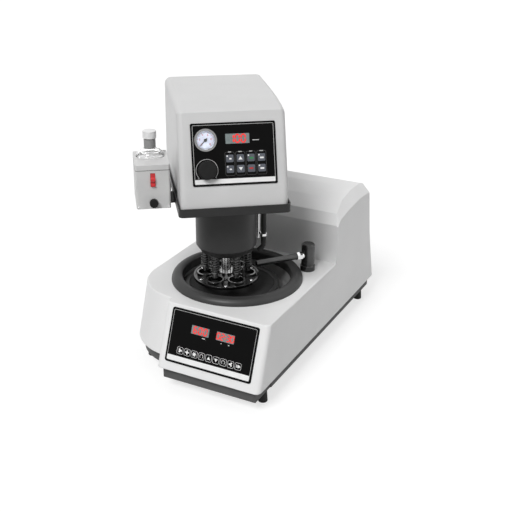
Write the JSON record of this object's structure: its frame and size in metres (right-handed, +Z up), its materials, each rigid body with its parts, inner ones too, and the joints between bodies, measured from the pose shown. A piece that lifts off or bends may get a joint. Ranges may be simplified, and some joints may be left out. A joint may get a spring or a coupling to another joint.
{
  "type": "metallographic grinder-polisher",
  "caption": "Bench grinder-polisher: a turning platen in a bowl, a swinging head on a column with a sprung specimen holder, a dosing bottle and a water tap.",
  "frame": {"origin": "on the floor, in the plane of the feet's soles, midway between the right and left feet and near the middle of the base's length", "axes": "+Z up; +Y to the rear, -Y towards the operator's panel; +X to the operator's right"},
  "size_m": [0.3983, 0.6715, 0.5845],
  "materials": {
    "white_shell": "moulded, satin gloss",
    "cover_white": "powder coat, satin",
    "dark_frame": "fine grain",
    "foot_rubber": "matt",
    "panel_foil": "foil, printed digits and bars",
    "bowl_grey": "moulded",
    "ring_grey": "moulded, satin",
    "cast_grey": "painted casting",
    "bearing_steel": "ground",
    "motor_grey": "paint",
    "belt_rubber": "matt",
    "pulley_alu": "turned",
    "platen_alu": "turned",
    "paper_dark": "fine grit",
    "band_steel": "rolled",
    "drain_grey": "extruded",
    "brass": "turned",
    "tap_dark": "satin",
    "chrome": "polished",
    "column_steel": "satin",
    "tray_dark": "folded sheet, satin",
    "drum_dark": "satin",
    "black_plastic": "moulded",
    "switch_red": "moulded",
    "box_white": "powder coat",
    "clear_plastic": "clear",
    "cap_white": "moulded",
    "holder_steel": "turned",
    "spring_steel": "drawn wire",
    "bronze": "bushes",
    "inverter_grey": "moulded"
  },
  "bodies": {
    "base": {"base_housing": "white_shell", "underframe": "dark_frame", "feet": "foot_rubber", "base_panel": "panel_foil", "bowl": "bowl_grey", "spindle_housing": "cast_grey", "spindle_bearings": "bearing_steel", "main_motor": "motor_grey", "drive_belt": "belt_rubber", "inverter": "inverter_grey", "power_inlet": "black_plastic", "drain_spout": "drain_grey", "water_inlet": "brass", "tap_base": "tap_dark", "rear_cover": "dark_frame", "column": "column_steel"},
    "platen_body": {"platen_spindle": "bearing_steel", "driven_pulley": "pulley_alu", "platen": "platen_alu", "abrasive_disc": "paper_dark", "clamp_ring": "band_steel"},
    "motor_rotor": {"motor_shaft": "bearing_steel", "drive_pulley": "pulley_alu"},
    "splash_ring_body": {"splash_ring": "ring_grey"},
    "tap": {"tap_post": "tap_dark", "tap_nut": "chrome", "tap_arm": "tap_dark"},
    "power_rocker": {"power_switch": "switch_red"},
    "head": {"head_tray": "tray_dark", "head_cover": "cover_white", "head_arm": "cast_grey", "pivot_bushes": "bronze", "head_panel": "panel_foil", "gauge_case": "chrome", "regulator": "bearing_steel", "dispenser_bracket": "tray_dark", "dispenser_box": "box_white", "drip_tube": "black_plastic", "nozzle_rod": "chrome", "air_inlet": "brass"},
    "lever": {"lock_lever": "black_plastic"},
    "needle": {"gauge_needle": "black_plastic"},
    "pressure_knob": {"regulator_knob": "black_plastic"},
    "dosing_rocker": {"dispenser_switch": "switch_red"},
    "dosing_knob": {"dispenser_knob": "black_plastic"},
    "bottle_body": {"bottle": "clear_plastic"},
    "cap_body": {"bottle_cap": "cap_white"},
    "quill": {"quill_sleeve": "bearing_steel", "gear_motor": "motor_grey"},
    "rotor": {"rotor_shaft": "chrome", "drum": "drum_dark", "chuck": "chrome", "specimen_holder": "holder_steel", "finger_springs": "spring_steel"},
    "finger_1_body": {"finger_1": "bearing_steel"},
    "finger_2_body": {"finger_2": "bearing_steel"},
    "finger_3_body": {"finger_3": "bearing_steel"},
    "finger_4_body": {"finger_4": "bearing_steel"},
    "finger_5_body": {"finger_5": "bearing_steel"},
    "finger_6_body": {"finger_6": "bearing_steel"}
  },
  "joints": [
    {"name": "platen_spin", "type": "hinge", "parent": "base", "child": "platen_body", "pos_m": [0.002, -0.117, 0.1735], "axis": [0, 0, 1], "continuous": true},
    {"name": "motor_spin", "type": "hinge", "parent": "base", "child": "motor_rotor", "pos_m": [0.008, 0.128, 0.1], "axis": [0, 0, 1], "continuous": true},
    {"name": "splash_ring_lift", "type": "slide", "parent": "base", "child": "splash_ring_body", "axis": [0, 0, 1], "range_m": [0, 0.012]},
    {"name": "tap_swivel", "type": "hinge", "parent": "base", "child": "tap", "pos_m": [0.128, 0.00006, 0.183], "axis": [0, 0, 1], "range_deg": [-50, 60]},
    {"name": "power_switch_tip", "type": "hinge", "parent": "base", "child": "power_rocker", "pos_m": [-0.1, 0.29628, 0.15711], "axis": [-1, 0, 0], "range_deg": [0, 16]},
    {"name": "head_swing", "type": "hinge", "parent": "base", "child": "head", "pos_m": [-0.11195, 0.00934, 0.383], "axis": [0, 0, -1], "range_deg": [0, 110]},
    {"name": "lock_lever_turn", "type": "hinge", "parent": "head", "child": "lever", "pos_m": [-0.1306, 0.03409, 0.373], "axis": [-0.6018, 0.7986, 0], "range_deg": [0, 90]},
    {"name": "regulator_turn", "type": "hinge", "parent": "head", "child": "pressure_knob", "pos_m": [0.02378, -0.25386, 0.47084], "axis": [-0.5676, 0.7533, -0.3322], "range_deg": [0, 720]},
    {"name": "gauge_needle_turn", "type": "hinge", "parent": "head", "child": "needle", "pos_m": [0.01238, -0.23874, 0.52461], "axis": [-0.5676, 0.7533, -0.3322], "range_deg": [0, 270]},
    {"name": "dispenser_switch_tip", "type": "hinge", "parent": "head", "child": "dosing_rocker", "pos_m": [-0.08179, -0.28077, 0.443], "axis": [0.7986, 0.6018, 0], "range_deg": [0, 16]},
    {"name": "dispenser_knob_turn", "type": "hinge", "parent": "head", "child": "dosing_knob", "pos_m": [-0.08049, -0.28249, 0.397], "axis": [-0.6018, 0.7986, 0], "range_deg": [0, 270]},
    {"name": "bottle_lift", "type": "slide", "parent": "head", "child": "bottle_body", "axis": [0, 0, 1], "range_m": [0, 0.08]},
    {"name": "bottle_cap_turn", "type": "hinge", "parent": "bottle_body", "child": "cap_body", "pos_m": [-0.1187, -0.23178, 0.473], "axis": [0, 0, 1], "range_deg": [0, 540]},
    {"name": "quill_lower", "type": "slide", "parent": "head", "child": "quill", "axis": [0, 0, 1], "range_m": [-0.023, 0], "stiffness_N_per_m": 2000, "springref_m": 0.08},
    {"name": "rotor_spin", "type": "hinge", "parent": "quill", "child": "rotor", "pos_m": [0.0036, -0.144, 0.1995], "axis": [0, 0, 1], "continuous": true},
    {"name": "finger_1_press", "type": "slide", "parent": "rotor", "child": "finger_1_body", "axis": [0, 0, 1], "range_m": [0, 0.012], "stiffness_N_per_m": 500, "springref_m": -0.02, "deforming": ["finger_springs"]},
    {"name": "finger_2_press", "type": "slide", "parent": "rotor", "child": "finger_2_body", "axis": [0, 0, 1], "range_m": [0, 0.012], "stiffness_N_per_m": 500, "springref_m": -0.02, "deforming": ["finger_springs"]},
    {"name": "finger_3_press", "type": "slide", "parent": "rotor", "child": "finger_3_body", "axis": [0, 0, 1], "range_m": [0, 0.012], "stiffness_N_per_m": 500, "springref_m": -0.02, "deforming": ["finger_springs"]},
    {"name": "finger_4_press", "type": "slide", "parent": "rotor", "child": "finger_4_body", "axis": [0, 0, 1], "range_m": [0, 0.012], "stiffness_N_per_m": 500, "springref_m": -0.02, "deforming": ["finger_springs"]},
    {"name": "finger_5_press", "type": "slide", "parent": "rotor", "child": "finger_5_body", "axis": [0, 0, 1], "range_m": [0, 0.012], "stiffness_N_per_m": 500, "springref_m": -0.02, "deforming": ["finger_springs"]},
    {"name": "finger_6_press", "type": "slide", "parent": "rotor", "child": "finger_6_body", "axis": [0, 0, 1], "range_m": [0, 0.012], "stiffness_N_per_m": 500, "springref_m": -0.02, "deforming": ["finger_springs"]}
  ],
  "couplings": [
    {"joint": "motor_spin", "follows": "platen_spin", "ratio": 1.8},
    {"joint": "gauge_needle_turn", "follows": "regulator_turn", "ratio": 0.375}
  ]
}
